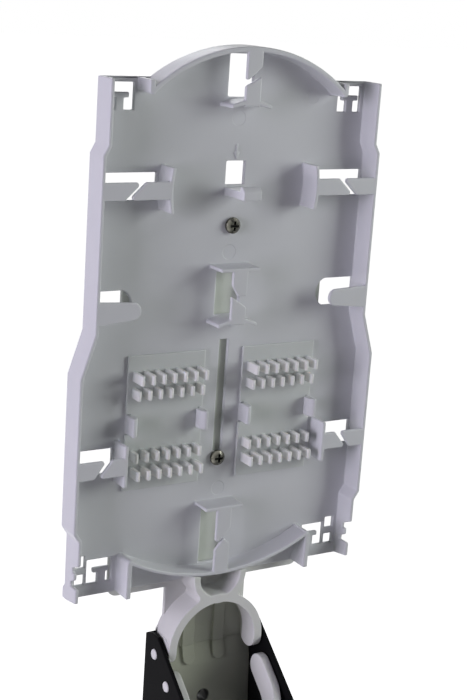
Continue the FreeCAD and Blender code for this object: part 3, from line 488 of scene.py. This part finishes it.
# Splice tray. It is one white moulding, held to the carrier by two screws: a thin floor, a
# rim with slots and tabs that keep the fibre down, and a springy hook for its cover. The
# ejector pins of the mould leave faint rings on the floor.
TRAY_WHITE = (0.683, 0.69, 0.712, 1.0)
TRAY_SHADE = (0.642, 0.648, 0.675, 1.0)
TRAY_RELIEF = 0.00007
EJECTOR_SPOTS = ((0.0, 0.2214), (0.0305, 0.2294), (-0.0004, 0.1738), (0.0015, 0.0842))
EJECTOR_RADIUS = 0.0027
EJECTOR_BLUR = 0.00015
EJECTOR_DENT = 0.00015
EJECTOR_STRENGTH = 0.8


def ejector_marks(material):
    """Adds the discs that the ejector pins leave. Each spot compares the distance from its
    centre, seen along the tray's depth, with the pin's radius."""
    tree = material.node_tree
    shader = tree.nodes["Principled BSDF"]
    total = None
    for across, level in EJECTOR_SPOTS:
        away = axis_distance(tree, place_in(material), across, level)
        disc = tree.nodes.new("ShaderNodeMapRange")
        disc.interpolation_type = "SMOOTHSTEP"
        disc.inputs["From Min"].default_value = EJECTOR_RADIUS - EJECTOR_BLUR
        disc.inputs["From Max"].default_value = EJECTOR_RADIUS + EJECTOR_BLUR
        tree.links.new(away, disc.inputs["Value"])
        if total is None:
            total = disc.outputs["Result"]
            continue
        both = tree.nodes.new("ShaderNodeMath")
        tree.links.new(total, both.inputs[0])
        tree.links.new(disc.outputs["Result"], both.inputs[1])
        total = both.outputs["Value"]
    dent = tree.nodes.new("ShaderNodeBump")
    dent.inputs["Strength"].default_value = EJECTOR_STRENGTH
    dent.inputs["Distance"].default_value = EJECTOR_DENT
    tree.links.new(total, dent.inputs["Height"])
    tree.links.new(tree.nodes["Bump"].outputs["Normal"], dent.inputs["Normal"])
    tree.links.new(dent.outputs["Normal"], shader.inputs["Normal"])


tray_plastic = white_moulding(
    "tray_plastic", TRAY_WHITE, TRAY_SHADE, TRAY_RELIEF, THIN_GLOW
)
ejector_marks(tray_plastic)
tray = softened("splice_tray", "tray_moulding", MOULD_EDGE)
dress(tray, tray_plastic)


# Splice holders. Two separate combs in a slightly greyer plastic are pressed into the
# tray's clips, and their fins grip the splice sleeves.
HOLDER_EDGE = 0.00025
HOLDER_WHITE = (0.65, 0.67, 0.665, 1.0)
HOLDER_SHADE = (0.62, 0.64, 0.635, 1.0)
# Painted light: a lighter tone on the fins, for light that reaches between and through them.
FIN_PAINTED_LIGHT = (0.81, 0.81, 0.80, 1.0)
FIN_FOOT = -0.0068
FIN_HALFWAY = -0.0085
HOLDER_RELIEF = 0.00005
FIN_GLOW = 0.7

holder_plastic = white_moulding(
    "holder_plastic", HOLDER_WHITE, HOLDER_SHADE, HOLDER_RELIEF, FIN_GLOW
)
# Painted light on the fins, from their foot outwards.
holder_depth = axes_of(holder_plastic)["Y"]
fins_painted_light = soft_step(holder_plastic.node_tree, holder_depth, FIN_FOOT, FIN_HALFWAY)
toned(holder_plastic, FIN_PAINTED_LIGHT, fins_painted_light)
for side in ("left", "right"):
    holder = softened(f"splice_holder_{side}", f"holder_{side}", HOLDER_EDGE)
    dress(holder, holder_plastic)


# Tray screws. They are plated steel pan head screws with a cross recess, driven through
# the tray's floor into the carrier's bosses.
SCREW_EDGE = 0.00015
# Painted highlight on the rim, and painted shade, nearly black, in the recess.
PLATE_RIM_HIGHLIGHT = (0.17, 0.165, 0.14, 1.0)
PLATE_FACE = (0.06, 0.06, 0.05, 1.0)
PLATE_RECESS_SHADE = (0.012, 0.012, 0.011, 1.0)
RIM_START = 0.0016
RIM_FULL = 0.0025
RECESS_START = 0.00015
RECESS_DEEP = 0.0005
PLATE_CLOUDS = 700.0
PLATE_DETAIL = 5.0
PLATE_HEIGHT = 0.00004
PLATE_STRENGTH = 0.4
PLATE_SMOOTHEST = 0.16
PLATE_ROUGHEST = 0.34


def screw_plating(name, middle, top):
    """Plated steel: a painted highlight on the rim, lighter than the dull face, by the distance
    from the screw's axis, and painted shade, nearly black, in the recess, by the depth below the
    head's top."""
    material, tree, shader, place = new_material(name)
    away = axis_distance(tree, place, middle.x, middle.z)
    near = tree.nodes.new("ShaderNodeMath")
    near.operation = "LESS_THAN"
    near.inputs[1].default_value = RIM_START
    depth = axes_of(material)["Y"]
    recess = tree.nodes.new("ShaderNodeMath")
    recess.operation = "MULTIPLY"
    tones = tree.nodes.new("ShaderNodeMix")
    tones.data_type = "RGBA"
    tones.inputs["A"].default_value = PLATE_FACE
    tones.inputs["B"].default_value = PLATE_RIM_HIGHLIGHT
    recess_shade = tree.nodes.new("ShaderNodeMix")
    recess_shade.data_type = "RGBA"
    recess_shade.inputs["B"].default_value = PLATE_RECESS_SHADE
    drift = tree.nodes.new("ShaderNodeTexNoise")
    drift.inputs["Scale"].default_value = PLATE_CLOUDS
    drift.inputs["Detail"].default_value = PLATE_DETAIL
    gloss = tree.nodes.new("ShaderNodeMapRange")
    gloss.inputs["To Min"].default_value = PLATE_SMOOTHEST
    gloss.inputs["To Max"].default_value = PLATE_ROUGHEST
    bump = tree.nodes.new("ShaderNodeBump")
    bump.inputs["Strength"].default_value = PLATE_STRENGTH
    bump.inputs["Distance"].default_value = PLATE_HEIGHT
    rim_highlight = soft_step(tree, away, RIM_START, RIM_FULL)
    below = soft_step(tree, depth, top + RECESS_START, top + RECESS_DEEP)
    tree.links.new(away, near.inputs[0])
    tree.links.new(near.outputs["Value"], recess.inputs[0])
    tree.links.new(below, recess.inputs[1])
    tree.links.new(rim_highlight, tones.inputs["Factor"])
    tree.links.new(recess.outputs["Value"], recess_shade.inputs["Factor"])
    tree.links.new(tones.outputs["Result"], recess_shade.inputs["A"])
    tree.links.new(recess_shade.outputs["Result"], shader.inputs["Base Color"])
    tree.links.new(place, drift.inputs["Vector"])
    tree.links.new(drift.outputs["Fac"], gloss.inputs["Value"])
    tree.links.new(gloss.outputs["Result"], shader.inputs["Roughness"])
    tree.links.new(drift.outputs["Fac"], bump.inputs["Height"])
    tree.links.new(bump.outputs["Normal"], shader.inputs["Normal"])
    shader.inputs["Metallic"].default_value = 1.0
    return material


for spot in ("upper", "lower"):
    points = [vertex.co for vertex in frame["nodes"][f"tray_screw_{spot}"].data.vertices]
    middle = (Vector(map(min, zip(*points))) + Vector(map(max, zip(*points)))) / 2
    head_top = min(point.y for point in points)
    screw = softened(f"tray_screw_{spot}", f"screw_{spot}", SCREW_EDGE)
    dress(screw, screw_plating(f"plating_{spot}", middle, head_top))


# Hinge yoke. This white moulded half ring turns on the second pair of pins, and folds out
# of the way of the tubes.
yoke_plastic = white_moulding(
    "yoke_plastic", CARRIER_WHITE, CARRIER_SHADE, CARRIER_RELIEF, THIN_GLOW
)
yoke = softened("hinge_yoke", "yoke_moulding", MOULD_EDGE)
dress(yoke, yoke_plastic)


# Studio. A level sheet of white paper lies far below the tray. A faintly green softbox on
# the right and a lilac one on the left both graze the tray, and a weak one behind lifts
# its back.
FLOOR_LEVEL = -0.45
FLOOR_HALF = 12.0
PAPER = (0.8, 0.8, 0.8, 1.0)
PAPER_ROUGHNESS = 0.9
WHITE = (1.0, 1.0, 1.0, 1.0)
AIM = (0.0, -0.005, 0.13)
CAMERA_PLACE = (-0.272184, -0.445391, 0.2728)
CAMERA_RIGHT = (0.85391, -0.516146, 0.06657)
CAMERA_FORWARD = (0.514868, 0.819222, -0.252559)
LENS_MM = 75.66
SENSOR_MM = 36.0


def white_when_seen(tree, strength):
    """Drives a strength by Light Path: one for the camera, for reflections and through
    clear pieces, and nought for all other light."""
    path = tree.nodes.new("ShaderNodeLightPath")
    seen = tree.nodes.new("ShaderNodeMath")
    seen.operation = "MAXIMUM"
    passed = tree.nodes.new("ShaderNodeMath")
    passed.operation = "MAXIMUM"
    tree.links.new(path.outputs["Is Camera Ray"], seen.inputs[0])
    tree.links.new(path.outputs["Is Glossy Ray"], seen.inputs[1])
    tree.links.new(seen.outputs["Value"], passed.inputs[0])
    tree.links.new(path.outputs["Is Transmission Ray"], passed.inputs[1])
    tree.links.new(passed.outputs["Value"], strength)


def make_floor():
    """A level square of paper, white where it is seen and pale paint to other light."""
    mesh = bpy.data.meshes.new("studio_floor")
    corners = np.array([(-1, -1), (1, -1), (1, 1), (-1, 1)]) * FLOOR_HALF
    points = np.column_stack([corners, np.full(4, FLOOR_LEVEL)])
    mesh.from_pydata(points.tolist(), [], [(0, 1, 2, 3)])
    floor = bpy.data.objects.new("studio_floor", mesh)
    bpy.context.scene.collection.objects.link(floor)
    material, tree, shader, _ = new_material("studio_paper")
    shader.inputs["Base Color"].default_value = PAPER
    shader.inputs["Roughness"].default_value = PAPER_ROUGHNESS
    shader.inputs["Emission Color"].default_value = WHITE
    white_when_seen(tree, shader.inputs["Emission Strength"])
    dress(floor, material)


def make_world():
    """White to the camera and in reflections, and without light for everything else."""
    world = bpy.data.worlds.new("studio")
    bpy.context.scene.world = world
    world.use_nodes = True
    background = world.node_tree.nodes["Background"]
    background.inputs["Color"].default_value = WHITE
    white_when_seen(world.node_tree, background.inputs["Strength"])


def softbox(name, place, width, height, power, colour):
    """Rectangular lamp at a place, turned to the tray's middle."""
    lamp = bpy.data.lights.new(name, "AREA")
    lamp.shape = "RECTANGLE"
    lamp.size = width
    lamp.size_y = height
    lamp.energy = power
    lamp.color = colour
    holder = bpy.data.objects.new(name, lamp)
    bpy.context.scene.collection.objects.link(holder)
    towards = Vector(AIM) - Vector(place)
    holder.matrix_world = (
        Matrix.Translation(place) @ towards.to_track_quat("-Z", "Y").to_matrix().to_4x4()
    )


def make_camera():
    """The camera at the photograph's viewpoint, as solved from the tray's own corners."""
    right = Vector(CAMERA_RIGHT)
    forward = Vector(CAMERA_FORWARD)
    up = right.cross(forward)
    turn = Matrix((right, up, -forward)).transposed().to_4x4()
    lens = bpy.data.cameras.new("photo_camera")
    lens.sensor_width = SENSOR_MM
    lens.lens = LENS_MM
    camera = bpy.data.objects.new("photo_camera", lens)
    bpy.context.scene.collection.objects.link(camera)
    camera.matrix_world = Matrix.Translation(CAMERA_PLACE) @ turn
    bpy.context.scene.camera = camera


make_floor()
make_world()
softbox(
    "softbox_right",
    place=(0.753, -0.44, 0.363),
    width=0.42,
    height=0.5,
    power=5.0,
    colour=(0.955, 1.0, 0.96),
)
softbox(
    "softbox_left",
    place=(-0.875, -0.175, 0.255),
    width=0.45,
    height=0.5,
    power=6.2,
    colour=(0.895, 0.845, 1.0),
)
softbox(
    "softbox_back",
    place=(0.15, 0.9, 0.45),
    width=0.6,
    height=0.6,
    power=3.0,
    colour=(0.95, 0.97, 1.0),
)
make_camera()
bpy.context.scene.view_settings.view_transform = "Standard"
